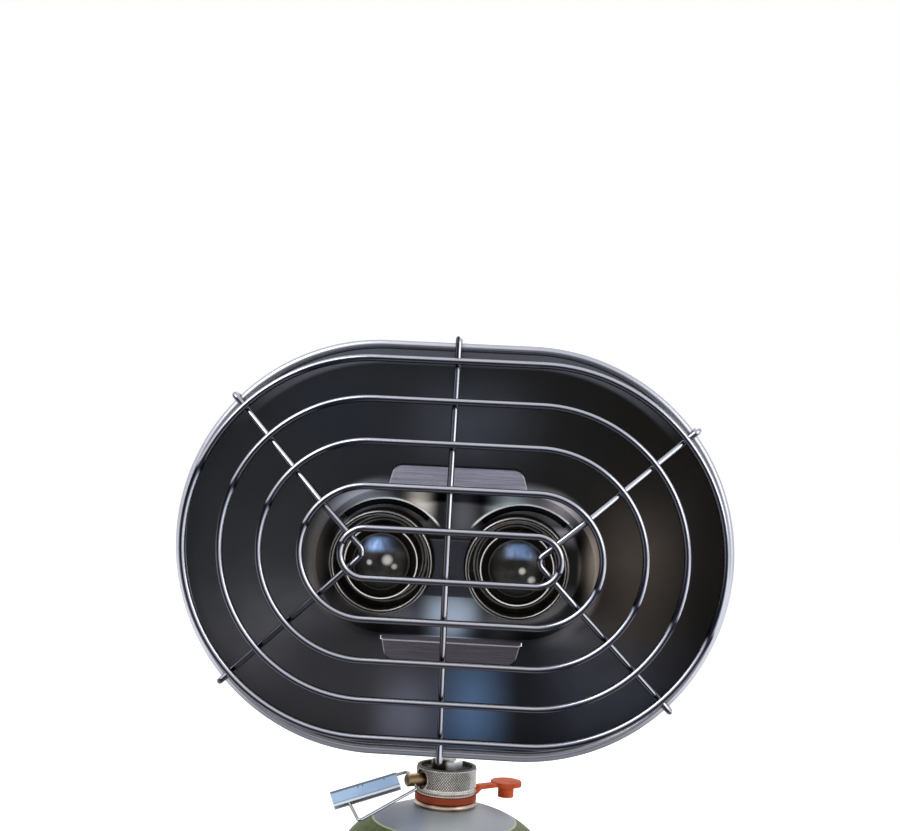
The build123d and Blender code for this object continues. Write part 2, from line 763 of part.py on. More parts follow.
with BuildPart() as reflector_dish:
    add(reflector_forms[0])
    add(reflector_forms[1], mode=Mode.SUBTRACT)
    with BuildLine(head) as rim_line:
        Line((-rim_half_straight, rim_radius), (rim_half_straight, rim_radius))
        CenterArc((rim_half_straight, 0), rim_radius, 90, -180)
        Line((rim_half_straight, -rim_radius), (-rim_half_straight, -rim_radius))
        CenterArc((-rim_half_straight, 0), rim_radius, -90, -180)
    with BuildSketch(Plane(origin=rim_line.line @ 0, z_dir=rim_line.line % 0)):
        Circle(rim_wire)
    sweep()
    for burner_side in (-1, 1):
        with BuildSketch(head.offset(-floor_depth + 0.5 * sheet)):
            brow_band(burner_side, brow_outer_radius, brow_outer_radius + brow_lip)
        extrude(amount=brow_lip_height + 0.5 * sheet)
        with BuildSketch(head.offset(-floor_depth - 1)):
            brow_band(burner_side, brow_inner_radius, brow_outer_radius)
        extrude(amount=floor_depth - well_edge_depth + 2, mode=Mode.SUBTRACT)
    with BuildSketch(head.offset(-floor_depth - 1)):
        with Locations(*burner_spots):
            Circle(cup_radius + loose)
    extrude(amount=floor_depth - well_edge_depth, mode=Mode.SUBTRACT)
    with BuildSketch(head.offset(-well_edge_depth - 4)):
        with Locations((0, leg_offset - well_drop), (0, -leg_offset - well_drop)):
            Rectangle(2 * leg_half_width + 2 * loose, leg_sheet + 2 * loose)
    extrude(amount=8, mode=Mode.SUBTRACT)
reflector_dish.part.label = "reflector_dish"
export_step(reflector_dish.part, "parts/reflector_dish.step")

# Burners, one on each side
side_names = {-1: "left", 1: "right"}
cup_bottom = floor_depth + cup_sink
cup_inside = cup_bottom - cup_sheet
flange_back = floor_depth - sheet - burner_flange_gap
tube_front = cup_inside - tube_flange_thickness
ring_bottom = tube_front - snug
ring_inside = ring_bottom - ring_sheet

for burner_side, side_name in side_names.items():
    across = burner_side * burner_spacing / 2 + burner_shift

    with BuildPart() as burner_cup:
        with BuildSketch(turning_plane(across)):
            step_ring(tube_radius + snug, cup_radius, cup_bottom, cup_inside)
            step_ring(cup_radius - cup_sheet, cup_radius, cup_bottom, cup_lip_depth + cup_lip_radius)
            step_ring(cup_radius - cup_sheet, burner_flange_radius,
                      flange_back, flange_back - burner_flange_sheet)
            with Locations((cup_radius, -cup_lip_depth - cup_lip_radius)):
                Circle(cup_lip_radius)
        revolve(axis=burner_axis(across))
    burner_cup.part.label = f"burner_cup_{side_name}"
    export_step(burner_cup.part, f"parts/burner_cup_{side_name}.step")

    with BuildPart() as burner_ring:
        with BuildSketch(turning_plane(across)):
            step_ring(dome_stem_radius + snug, ring_radius, ring_bottom, ring_inside)
            step_ring(ring_radius - ring_sheet, ring_radius, ring_bottom, ring_lip_depth)
        revolve(axis=burner_axis(across))
        with BuildSketch(head.offset(-ring_bottom)):
            with Locations((across, -well_drop)):
                with PolarLocations(gas_hole_circle, gas_hole_count):
                    Circle(gas_hole_radius)
                with PolarLocations(inner_hole_circle, inner_hole_count):
                    Circle(inner_hole_radius)
        extrude(amount=ring_sheet, mode=Mode.SUBTRACT)
    burner_ring.part.label = f"burner_ring_{side_name}"
    export_step(burner_ring.part, f"parts/burner_ring_{side_name}.step")

    with BuildPart() as burner_gauze:
        with BuildSketch(turning_plane(across)):
            step_ring(dome_stem_radius + loose, ring_radius - ring_sheet - snug,
                      gauze_depth + gauze_thickness, gauze_depth)
        revolve(axis=burner_axis(across))
    burner_gauze.part.label = f"burner_gauze_{side_name}"
    export_step(burner_gauze.part, f"parts/burner_gauze_{side_name}.step")

    dome_centre = dome_edge_depth + math.sqrt(dome_radius**2 - dome_edge_radius**2)
    with BuildPart() as burner_dome:
        with BuildSketch(turning_plane(across)):
            with Locations((0, -dome_centre)):
                Circle(dome_radius)
                Circle(dome_radius - dome_sheet, mode=Mode.SUBTRACT)
            with Locations((0, -dome_edge_depth)):
                Rectangle(dome_radius, 2 * dome_radius, align=(Align.MIN, Align.MIN),
                          mode=Mode.INTERSECT)
            step_ring(0, dome_stem_radius, ring_bottom, dome_centre - dome_radius + 0.5 * dome_sheet)
        revolve(axis=burner_axis(across))
    burner_dome.part.label = f"burner_dome_{side_name}"
    export_step(burner_dome.part, f"parts/burner_dome_{side_name}.step")

    with BuildPart() as mixing_tube:
        with BuildSketch(turning_plane(across)):
            step_ring(tube_radius - tube_wall, tube_flange_radius, cup_inside, tube_front)
            step_ring(tube_radius - tube_wall, tube_radius, tube_back, tube_front)
        revolve(axis=burner_axis(across))
        window_middle = tube_back - air_window_back - air_window_length / 2
        with BuildSketch(Plane(
            origin=head.from_local_coords((across, -well_drop, -window_middle)),
            x_dir=(1, 0, 0),
            z_dir=head.y_dir,
        )):
            Rectangle(air_window_width, air_window_length)
        extrude(amount=2 * tube_radius, both=True, mode=Mode.SUBTRACT)
        with BuildSketch(side_plane(across)):
            with Locations((-well_drop, -window_middle)):
                Rectangle(air_window_width, air_window_length)
        extrude(amount=2 * tube_radius, both=True, mode=Mode.SUBTRACT)
    mixing_tube.part.label = f"mixing_tube_{side_name}"
    export_step(mixing_tube.part, f"parts/mixing_tube_{side_name}.step")

    with BuildPart() as tube_spacer:
        with BuildSketch(turning_plane(across)):
            step_ring(tube_radius + snug, spacer_radius, plate_depth, cup_bottom)
        revolve(axis=burner_axis(across))
    tube_spacer.part.label = f"tube_spacer_{side_name}"
    export_step(tube_spacer.part, f"parts/tube_spacer_{side_name}.step")

    with BuildPart() as jam_nut:
        with BuildSketch(head.offset(-plate_depth - plate_sheet)):
            with Locations((across, -well_drop)):
                RegularPolygon(jam_nut_flats / 2, 6, major_radius=False)
                Circle(tube_radius + snug, mode=Mode.SUBTRACT)
        extrude(amount=-jam_nut_height)
    jam_nut.part.label = f"jam_nut_{side_name}"
    export_step(jam_nut.part, f"parts/jam_nut_{side_name}.step")

    with BuildPart() as gas_jet:
        with BuildSketch(head.offset(-tube_back)):
            with Locations((across, -well_drop)):
                RegularPolygon(jet_flats / 2, 6, major_radius=False)
        extrude(amount=jet_head_height)
        with BuildSketch(head.offset(jet_head_height - tube_back)):
            with Locations((across, -well_drop)):
                Circle(jet_nozzle_radius)
        extrude(amount=jet_nozzle_length)
        with BuildSketch(head.offset(-tube_back)):
            with Locations((across, -well_drop)):
                Circle(jet_thread_radius)
        extrude(amount=-manifold_side / 4)
        with BuildSketch(head.offset(-tube_back - manifold_side)):
            with Locations((across, -well_drop)):
                Circle(jet_bore_radius)
        extrude(amount=2 * manifold_side, mode=Mode.SUBTRACT)
    gas_jet.part.label = f"gas_jet_{side_name}"
    export_step(gas_jet.part, f"parts/gas_jet_{side_name}.step")

with BuildPart() as burner_bridge:
    with BuildSketch(head.offset(-bridge_depth)):
        with Locations((burner_shift, -well_drop - bridge_drop)):
            Rectangle(2 * bridge_half_width, bridge_height)
    extrude(amount=-(floor_depth - sheet - bridge_depth))
    with BuildSketch(head.offset(-bridge_depth - bridge_sheet)):
        with Locations((burner_shift, -well_drop - bridge_drop)):
            Rectangle(2 * bridge_half_width, bridge_height - 2 * bridge_sheet)
    extrude(amount=-floor_depth, mode=Mode.SUBTRACT)
    with BuildSketch(head.offset(-bridge_depth + 1)):
        with Locations(*burner_spots):
            Circle(burner_flange_radius + loose)
    extrude(amount=-floor_depth, mode=Mode.SUBTRACT)
burner_bridge.part.label = "burner_bridge"
export_step(burner_bridge.part, "parts/burner_bridge.step")

# Rear bracket: plate behind the well, two legs through the reflector, folded tongues
with BuildPart() as rear_bracket:
    with BuildSketch(head.offset(-plate_depth - plate_sheet)):
        with Locations((0, -well_drop)):
            Rectangle(2 * leg_half_width, 2 * leg_offset + leg_sheet)
            SlotCenterToCenter(burner_spacing, 2 * (brow_outer_radius + plate_margin))
        with Locations(*burner_spots):
            Circle(tube_radius + loose, mode=Mode.SUBTRACT)
    extrude(amount=plate_sheet)
    for leg_side, slope in ((1, slope_top), (-1, slope_bottom)):
        wall_rise = (leg_offset - 0.5 * leg_sheet - well_radius) * math.tan(slope)
        leg_length = (
            plate_depth + plate_sheet - well_edge_depth + wall_rise
            + (sheet + tongue_gap + leg_sheet) / math.cos(slope)
        )
        with BuildSketch(head.offset(-plate_depth - plate_sheet)):
            with Locations((0, leg_side * leg_offset - well_drop)):
                Rectangle(2 * leg_half_width, leg_sheet)
        extrude(amount=leg_length)
        outward = head.y_dir * (leg_side * math.cos(slope)) + head.z_dir * math.sin(slope)
        lift = head.z_dir * math.cos(slope) - head.y_dir * (leg_side * math.sin(slope))
        fold = head.from_local_coords(
            (0, leg_side * (leg_offset - 0.5 * leg_sheet) - well_drop, wall_rise - well_edge_depth)
        )
        tongue_plane = Plane(
            origin=fold + lift * (sheet + tongue_gap), x_dir=(1, 0, 0), z_dir=lift
        )
        rise = 1 if tongue_plane.y_dir.dot(outward) > 0 else -1
        with BuildSketch(tongue_plane) as tongue:
            Polygon(
                (-leg_half_width, 0), (leg_half_width, 0),
                (leg_half_width - tongue_taper, rise * tongue_length),
                (tongue_taper - leg_half_width, rise * tongue_length),
                align=None,
            )
            fillet(tongue.vertices().sort_by(Axis.Y)[::rise][-2:], tongue_round)
        extrude(amount=leg_sheet)
rear_bracket.part.label = "rear_bracket"
export_step(rear_bracket.part, "parts/rear_bracket.step")

# Guard rings, from the rim to the middle
ring_wire = ring_wire_diameter / 2
cross_wire = cross_wire_diameter / 2
for number, (radius, height) in enumerate(zip(guard_radii, guard_heights), start=1):
    with BuildPart() as guard_ring:
        with BuildLine(head.offset(height)) as ring_line:
            Line((-guard_half_straight, radius), (guard_half_straight, radius))
            CenterArc((guard_half_straight, 0), radius, 90, -180)
            Line((guard_half_straight, -radius), (-guard_half_straight, -radius))
            CenterArc((-guard_half_straight, 0), radius, -90, -180)
        with BuildSketch(Plane(origin=ring_line.line @ 0, z_dir=ring_line.line % 0)):
            Circle(ring_wire)
        sweep()
    guard_ring.part.label = f"guard_ring_{number}"
    export_step(guard_ring.part, f"parts/guard_ring_{number}.step")

# Cross wires: under the rings, over the rim and hooked round it
hook = rim_wire + cross_wire + hook_clearance
steepest = math.atan2(guard_heights[1] - guard_heights[0], guard_radii[0] - guard_radii[1])
tie = (ring_wire + cross_wire + snug) / math.cos(steepest)


def wire_run(rim_distance):
    """Points of a cross wire from its hook inwards: distance outwards, height out of the mouth."""
    points = [
        (rim_distance + hook_curl, -hook),
        (rim_distance + hook, -hook),
        (rim_distance + hook, hook),
    ]
    points += [(radius, height - tie) for radius, height in zip(guard_radii, guard_heights)]
    return points


with BuildPart() as guard_centre_wire:
    with BuildLine(side_plane(centre_wire_shift)) as wire_line:
        upper = wire_run(rim_radius)
        lower = [(-distance, height) for distance, height in reversed(upper)]
        FilletPolyline(*upper, *lower, radius=[*wire_bends, *reversed(wire_bends)])
    with BuildSketch(Plane(origin=wire_line.line @ 0, z_dir=wire_line.line % 0)):
        Circle(cross_wire)
    sweep()
guard_centre_wire.part.label = "guard_centre_wire"
export_step(guard_centre_wire.part, "parts/guard_centre_wire.step")

offset_of_centres = guard_half_straight - rim_half_straight


def leg_route(wire_side, up_side, spread_angle):
    """Points of one leg of a side wire, from its hook to the innermost ring."""
    spread = math.radians(spread_angle)
    rim_distance = (
        math.sqrt(rim_radius**2 - (offset_of_centres * math.sin(spread)) ** 2)
        - offset_of_centres * math.cos(spread)
    )
    return [
        head.from_local_coords((
            wire_side * (guard_half_straight + distance * math.cos(spread)),
            up_side * distance * math.sin(spread),
            height,
        ))
        for distance, height in wire_run(rim_distance)
    ]


for wire_side, (upper_spread, lower_spread) in ((-1, left_spread), (1, right_spread)):
    apex_height = guard_heights[-1] - tie + apex_lift
    apex = head.from_local_coords((wire_side * guard_half_straight, 0, apex_height))
    with BuildPart() as guard_wire:
        with BuildLine() as wire_line:
            route = leg_route(wire_side, 1, upper_spread) + [apex]
            route += reversed(leg_route(wire_side, -1, lower_spread))
            bends = [*wire_bends[:-1], *apex_bends, *reversed(wire_bends[:-1])]
            FilletPolyline(*route, radius=bends)
        with BuildSketch(Plane(origin=wire_line.line @ 0, z_dir=wire_line.line % 0)):
            Circle(cross_wire)
        sweep()
    guard_wire.part.label = f"guard_{side_names[wire_side]}_wire"
    export_step(guard_wire.part, f"parts/guard_{side_names[wire_side]}_wire.step")
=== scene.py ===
import json
import math

import bmesh
import bpy
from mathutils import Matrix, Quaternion, Vector


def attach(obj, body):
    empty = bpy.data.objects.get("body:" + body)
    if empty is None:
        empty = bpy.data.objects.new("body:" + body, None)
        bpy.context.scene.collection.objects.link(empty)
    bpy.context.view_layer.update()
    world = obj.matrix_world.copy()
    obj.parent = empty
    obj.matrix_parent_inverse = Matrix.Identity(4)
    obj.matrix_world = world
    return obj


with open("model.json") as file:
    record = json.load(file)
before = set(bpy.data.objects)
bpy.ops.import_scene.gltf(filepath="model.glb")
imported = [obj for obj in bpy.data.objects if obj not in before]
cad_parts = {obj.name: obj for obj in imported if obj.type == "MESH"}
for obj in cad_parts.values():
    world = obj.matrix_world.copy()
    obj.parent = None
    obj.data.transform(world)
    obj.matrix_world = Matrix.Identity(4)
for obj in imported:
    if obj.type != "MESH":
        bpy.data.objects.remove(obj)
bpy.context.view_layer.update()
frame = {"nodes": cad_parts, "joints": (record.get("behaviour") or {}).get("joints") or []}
nodes = frame["nodes"]
joints = {joint["name"]: joint for joint in frame["joints"]}
mm = 0.001
print("frame loaded:", len(nodes), "nodes")

# The head's own axes: across, up the rim's plane, and out of the reflector's mouth
headPlace = {
    "tilt": 3.0,  # degrees, how far the mouth looks down at rest
    "rise": 66.0,  # mm, from the pivot up to the middle of the rim
    "reach": 76.0,  # mm, from the pivot forward to the rim's plane
    "burnerDrop": 11.0,  # mm, the burners below the middle
    "burnerSide": 33.8,  # mm, each burner from their common middle
    "burnerShift": -2.7,  # mm, that middle along the well
}
headTilt = math.radians(headPlace["tilt"])
headUp = Vector((0, -math.sin(headTilt), math.cos(headTilt)))
headOut = Vector((0, -math.cos(headTilt), -math.sin(headTilt)))
headMiddle = (
    Vector(joints["head_tilt"]["pos_m"])
    + headUp * headPlace["rise"] * mm
    + headOut * headPlace["reach"] * mm
)


def headPoint(across, up, out):
    return headMiddle + (Vector((across, 0, 0)) + headUp * up + headOut * out) * mm


# Flow wraps a socket, so that Python's operators add Math nodes to its graph
class Flow:
    def __init__(self, graph, socket):
        self.graph = graph
        self.socket = socket

    def math(self, operation, first, second):
        return self.graph.node(
            "ShaderNodeMath", {"operation": operation}, {0: first, 1: second}
        )

    def __add__(self, other):
        return self.math("ADD", self, other)

    def __sub__(self, other):
        return self.math("SUBTRACT", self, other)

    def __rsub__(self, other):
        return self.math("SUBTRACT", other, self)

    def __mul__(self, other):
        return self.math("MULTIPLY", self, other)

    def __truediv__(self, other):
        return self.math("DIVIDE", self, other)

    def __rtruediv__(self, other):
        return self.math("DIVIDE", other, self)

    __radd__ = __add__
    __rmul__ = __mul__

    def atLeast(self, other):
        return self.math("MAXIMUM", self, other)

    def atMost(self, other):
        return self.math("MINIMUM", self, other)


class Graph:
    def __init__(self, tree, shaderName):
        self.tree = tree
        self.shader = tree.nodes[shaderName]

    def set(self, socketName, value):
        socket = self.shader.inputs[socketName]
        if isinstance(value, Flow):
            self.tree.links.new(value.socket, socket)
        else:
            socket.default_value = value

    def node(self, kind, settings=None, sockets=None, output=0):
        made = self.tree.nodes.new(kind)
        for key, value in (settings or {}).items():
            if key == "stops":
                ramp = made.color_ramp.elements
                while len(ramp) < len(value):
                    ramp.new(1.0)
                for stop, (place, colour) in zip(ramp, value):
                    stop.position = place
                    stop.color = (*colour, 1)
            else:
                setattr(made, key, value)
        for key, value in (sockets or {}).items():
            if isinstance(value, Flow):
                self.tree.links.new(value.socket, made.inputs[key])
            else:
                made.inputs[key].default_value = value
        return Flow(self, made.outputs[output])

    def seenAs(self, plain, seen):  # seen for sight and mirror images, plain for other light
        sight, glossy, through = [
            self.node("ShaderNodeLightPath", output=f"Is {kind} Ray")
            for kind in ("Camera", "Glossy", "Transmission")
        ]
        return self.node(
            "ShaderNodeMapRange", {},
            {"Value": sight.atLeast(glossy).atLeast(through), "To Min": plain, "To Max": seen},
        )


class Finish(Graph):
    def __init__(self, name, base, roughness, metallic=0.0, specular=0.5):
        self.material = bpy.data.materials.new(name)
        self.material.use_nodes = True
        super().__init__(self.material.node_tree, "Principled BSDF")
        self.set("Base Color", (*base, 1))
        self.set("Roughness", roughness)
        self.set("Metallic", metallic)
        self.set("Specular IOR Level", specular)

    def place(self):  # where a point of the piece is at rest, in metres
        return self.node("ShaderNodeTexCoord", output="Object")

    def axes(self):  # the same place as x, y and z in mm
        apart = self.node("ShaderNodeSeparateXYZ", {}, {0: self.place()})
        sockets = apart.socket.node.outputs
        return [Flow(self, sockets[axis]) / mm for axis in "XYZ"]

    def vectorValue(self, operation, first, second):  # a Vector Math node that gives a number
        return self.node(
            "ShaderNodeVectorMath", {"operation": operation}, {0: first, 1: second},
            output="Value",
        )

    def along(self, direction, origin):  # signed distance in mm from origin, along direction
        moved = self.node(
            "ShaderNodeVectorMath", {"operation": "SUBTRACT"}, {0: self.place(), 1: origin}
        )
        return self.vectorValue("DOT_PRODUCT", moved, direction) / mm

    def distance(self, origin):  # mm from a point
        return self.vectorValue("DISTANCE", self.place(), origin) / mm

    def facing(self, direction):  # 1 where the surface faces that way, -1 where it faces back
        normal = self.node("ShaderNodeTexCoord", output="Normal")
        return self.vectorValue("DOT_PRODUCT", normal, direction)

    def length(self, first, second):
        flat = self.node("ShaderNodeCombineXYZ", {}, {0: first, 1: second})
        return self.vectorValue("LENGTH", flat, (0, 0, 0))

    def size(self, value):  # without its sign
        return self.node("ShaderNodeMath", {"operation": "ABSOLUTE"}, {0: value})

    def ramp(self, value, start, end):  # 0 at start, 1 at end, smooth between
        return self.node(
            "ShaderNodeMapRange", {"interpolation_type": "SMOOTHSTEP"},
            {"Value": value, "From Min": start, "From Max": end},
        )

    def hump(self, value, middle, half):  # 1 at middle, 0 beyond half either side
        return self.ramp(self.size(value - middle), half, 0)

    def tones(self, value, *stops):
        return self.node("ShaderNodeValToRGB", {"stops": stops}, {0: value})

    def mix(self, factor, first, second):
        def filled(colour):
            return colour if isinstance(colour, Flow) else (*colour, 1)

        return self.node(
            "ShaderNodeMix", {"data_type": "RGBA"},
            {0: factor, 6: filled(first), 7: filled(second)}, output=2,
        )

    def noise(self, perMetre, detail, stretch=(1, 1, 1)):
        stretched = self.node(
            "ShaderNodeVectorMath", {"operation": "MULTIPLY"}, {0: self.place(), 1: stretch}
        )
        return self.node(
            "ShaderNodeTexNoise", {},
            {"Vector": stretched, "Scale": perMetre, "Detail": detail},
        )

    def patches(self, perMetre, detail, start, end, stretch=(1, 1, 1)):
        return self.ramp(self.noise(perMetre, detail, stretch), start, end)

    def roughen(self, perMetre, detail, least, most):
        self.set("Roughness", self.noise(perMetre, detail) * (most - least) + least)

    def bump(self, height, depth, strength):  # depth in mm
        self.set("Normal", self.node(
            "ShaderNodeBump", {},
            {"Strength": strength, "Distance": depth * mm, "Height": height},
        ))

    def dress(self, *pieces):
        for piece in pieces:
            mesh = nodes[piece].data if isinstance(piece, str) else piece.data
            mesh.materials.clear()
            mesh.materials.append(self.material)


def onHead(finish):  # the head's three coordinates in mm, as Flow values
    across = finish.along((1, 0, 0), headMiddle)
    up = finish.along(headUp, headMiddle)
    out = finish.along(headOut, headMiddle)
    return across, up, out


# Bright guard wire, with a painted reflection: across its width a drawn wire mirrors a pale
# band on its upper right side, then dark, then a dim band, and these painted stripes go by
# how far the surface leans that way.
wireLook = {
    # painted reflection: colour by how the wire's surface leans, from 0 to 1 across its width
    "stripes": (
        (0.0, (0.012, 0.012, 0.016)),
        (0.07, (0.090, 0.090, 0.105)),
        (0.24, (0.075, 0.075, 0.090)),
        (0.32, (0.010, 0.010, 0.016)),
        (0.50, (0.008, 0.009, 0.016)),
        (0.58, (0.16, 0.17, 0.21)),
        (0.66, (0.44, 0.46, 0.53)),
        (0.86, (0.48, 0.49, 0.54)),
        (0.95, (0.22, 0.22, 0.25)),
        (1.0, (0.05, 0.05, 0.06)),
    ),
    "changeOver": (-0.42, -0.30),  # slant of the wire where the pale side goes over
    "narrow": 0.8,  # how much closer the stripes are on a slanting wire
    "worn": (0.10, 0.10, 0.105),
    "wornShare": 0.1,
    "warm": (0.30, 0.24, 0.19),
    "warmShare": 0.05,
    "heat": {"at": (-3, -16, 20), "far": 75, "near": 25},  # mm on the head
}


# paints the wire's reflection as stripes of colour, set by the surface's lean
def wireStripes(finish, upright):
    sideways = finish.facing((1, 0, 0))
    if upright:
        return finish.tones(sideways * 0.5 + 0.5, *wireLook["stripes"])
    upwards = finish.facing(headUp)
    slant = sideways * upwards / (sideways * sideways + upwards * upwards + 0.001)
    turned = finish.ramp(slant, *wireLook["changeOver"]) * 2.0 - 1.0
    lean = upwards + sideways * turned
    spread = 0.5 / (1.0 + finish.size(slant) * wireLook["narrow"])
    return finish.tones(lean * spread + 0.5, *wireLook["stripes"])


def makeGuardWire(name, upright=False):
    steel = Finish(name, wireLook["worn"], 0.2, 1.0)
    worn = steel.patches(70, 3, 0.5, 0.75) * wireLook["wornShare"]
    colour = steel.mix(worn, wireStripes(steel, upright), wireLook["worn"])
    heat = wireLook["heat"]
    hot = steel.ramp(steel.distance(headPoint(*heat["at"])), heat["far"], heat["near"])
    colour = steel.mix(hot * wireLook["warmShare"], colour, wireLook["warm"])
    steel.set("Base Color", colour)
    steel.roughen(400, 3, 0.14, 0.26)
    return steel


guardWire = makeGuardWire("guardWire")
guardWire.dress(
    *(f"guard_ring_{number}" for number in range(1, 6)), "guard_left_wire", "guard_right_wire"
)
makeGuardWire("centreWire", upright=True).dress("guard_centre_wire")
print("guard wires dressed")

# Reflector sheet: dark polished steel that mirrors its own walls, with those reflections and
# its shade painted into the colour. A patch is where it sits on the head, how far it fades,
# how strong it is and its colour. Places are in mm, and where two are given, the colour
# comes in at the first and is full at the second.
reflectorLook = {
    # painted shade and reflection: darker from left to right, lighter low down, darker low on the
    # right
    "left": (0.024, 0.025, 0.028),
    "right": (0.014, 0.013, 0.012),
    "leftToRight": (-20, 90),
    "low": (0.045, 0.044, 0.050),
    "lowRight": (0.013, 0.014, 0.019),
    "lowUp": (-20, -70),
    "lowAcross": (60, -60),
    "lowRightAcross": (0, 60),
    "behind": (0.30, 0.30, 0.31),
    # dark for the painted shade at the well's edge and inside the brows, and for random darker
    # mottle
    "slot": (0.006, 0.007, 0.009),
    # painted reflections on the bowl
    "patches": (
        {"at": (4, 60), "fade": (46, 34), "strength": 0.8, "colour": (0.060, 0.066, 0.086)},
        {"at": (-60, 62), "fade": (44, 34), "strength": 0.5, "colour": (0.028, 0.034, 0.052)},
        {"at": (90, -6), "fade": (30, 50), "strength": 0.9, "colour": (0.058, 0.048, 0.041)},
        {"at": (12, -80), "fade": (24, 44), "strength": 1.0, "colour": (0.088, 0.150, 0.270)},
        {"at": (0, -43), "fade": (82, 8), "strength": 0.6, "colour": (0.13, 0.13, 0.15)},
        {"at": (-18, -84), "fade": (22, 30), "strength": 0.8, "colour": (0.140, 0.145, 0.200)},
    ),
    # painted light and shade on the well's walls, with a painted orange glint under the upper
    # tongue
    "wellPatches": (
        {"at": (-47, 18), "fade": (27, 24), "strength": 1.0, "colour": (0.66, 0.71, 0.86)},
        {"at": (-20, 20), "fade": (11, 17), "strength": 1.0, "colour": (0.95, 0.89, 0.83)},
        {"at": (28, 20), "fade": (17, 20), "strength": 1.0, "colour": (0.80, 0.93, 1.00)},
        {"at": (50, 19), "fade": (19, 22), "strength": 1.0, "colour": (0.80, 0.76, 0.86)},
        {"at": (3, 12), "fade": (11, 24), "strength": 0.85, "colour": (0.11, 0.11, 0.135)},
        {"at": (-1, -39), "fade": (19, 17), "strength": 1.0, "colour": (0.62, 0.75, 0.94)},
        {"at": (-24, -40), "fade": (16, 12), "strength": 0.5, "colour": (0.12, 0.13, 0.17)},
        {"at": (24, -42), "fade": (16, 12), "strength": 0.5, "colour": (0.14, 0.14, 0.17)},
        {"at": (69, -8), "fade": (8, 36), "strength": 1.0, "colour": (0.46, 0.39, 0.33)},
        {"at": (-69, -10), "fade": (9, 38), "strength": 0.9, "colour": (0.20, 0.18, 0.165)},
        {"at": (-52, -34), "fade": (34, 16), "strength": 0.9, "colour": (0.13, 0.12, 0.12)},
        {"at": (46, -34), "fade": (34, 16), "strength": 0.9, "colour": (0.13, 0.13, 0.145)},
        {"at": (-22, 25.4), "fade": (9, 1.5), "strength": 1.0, "colour": (1.0, 0.52, 0.34)},
    ),
    # where the painted shade at the well's edge comes in
    "wellDarkOut": (-34.0, -37.5),
    "wellDarkShare": 0.4,
    "wellPatchesOut": (-33.0, -38.0),
    "painted": 0.95,  # how much less like a mirror a well patch is
    "clouds": 0.2,
    "backOut": (-2.8, -4.0),
}
# brows: painted shade inside each brow's opening and a painted highlight along its edge
browLook = {
    "apart": 34.8,  # mm, each circle's middle from their common middle
    "shift": -0.85,
    "drop": 13.3,
    "edgeRadius": 33.4,
    "edgeFade": 0.9,
    "inside": (33.0, 32.4),
    "insideShare": 0.9,
    "up": (6, 10),
    "out": (-38.0, -43.0),
    "edge": (0.85, 0.86, 0.86),
}
# rim: painted reflection on the rolled edge, from its inner to its outer colour, with a painted
# dark line along it and painted light on the shoulder just inside it at the top
rimLook = {
    "straight": 33.8,  # mm, half the rim's straight part
    "radius": 95.5,
    "wire": 2.6,
    "split": (-0.5, 0.1),  # across the rolled edge, from its inner to its outer colour
    "line": (-0.2, 0.5),  # middle and half width
    "lineShare": 0.8,
    "topUp": (50, 90),
    "lowUp": (-50, -90),
    "shoulderOut": (-4.2, -3.0),
    "outerColour": (0.44, 0.45, 0.51),
    "lowColour": (0.17, 0.175, 0.205),
    "innerColour": (0.32, 0.33, 0.37),
    "innerTopColour": (0.12, 0.125, 0.15),
    "lineColour": (0.05, 0.05, 0.06),
    "shoulderColour": (0.115, 0.12, 0.145),
}


# paints the rolled edge's reflection and the shoulder's light into the colour
def rimPaint(steel, colour, across, up, out):  # the rolled edge and the sheet just inside it
    beyond = (steel.size(across) - rimLook["straight"]).atLeast(0.0)
    outwards = steel.length(beyond, up) - rimLook["radius"]
    top = steel.ramp(up, *rimLook["topUp"])
    inner = steel.mix(top, rimLook["innerColour"], rimLook["innerTopColour"])
    low = steel.ramp(up, *rimLook["lowUp"])
    outer = steel.mix(low, rimLook["outerColour"], rimLook["lowColour"])
    rolled = steel.mix(steel.ramp(outwards, *rimLook["split"]), inner, outer)
    line = steel.hump(outwards, *rimLook["line"]) * rimLook["lineShare"]
    rolled = steel.mix(line, rolled, rimLook["lineColour"])
    shoulder = top * steel.ramp(out, *rimLook["shoulderOut"])
    colour = steel.mix(shoulder, colour, rimLook["shoulderColour"])
    onRim = steel.ramp(steel.length(outwards, out), rimLook["wire"], rimLook["wire"] - 0.3)
    return steel.mix(onRim, colour, rolled)


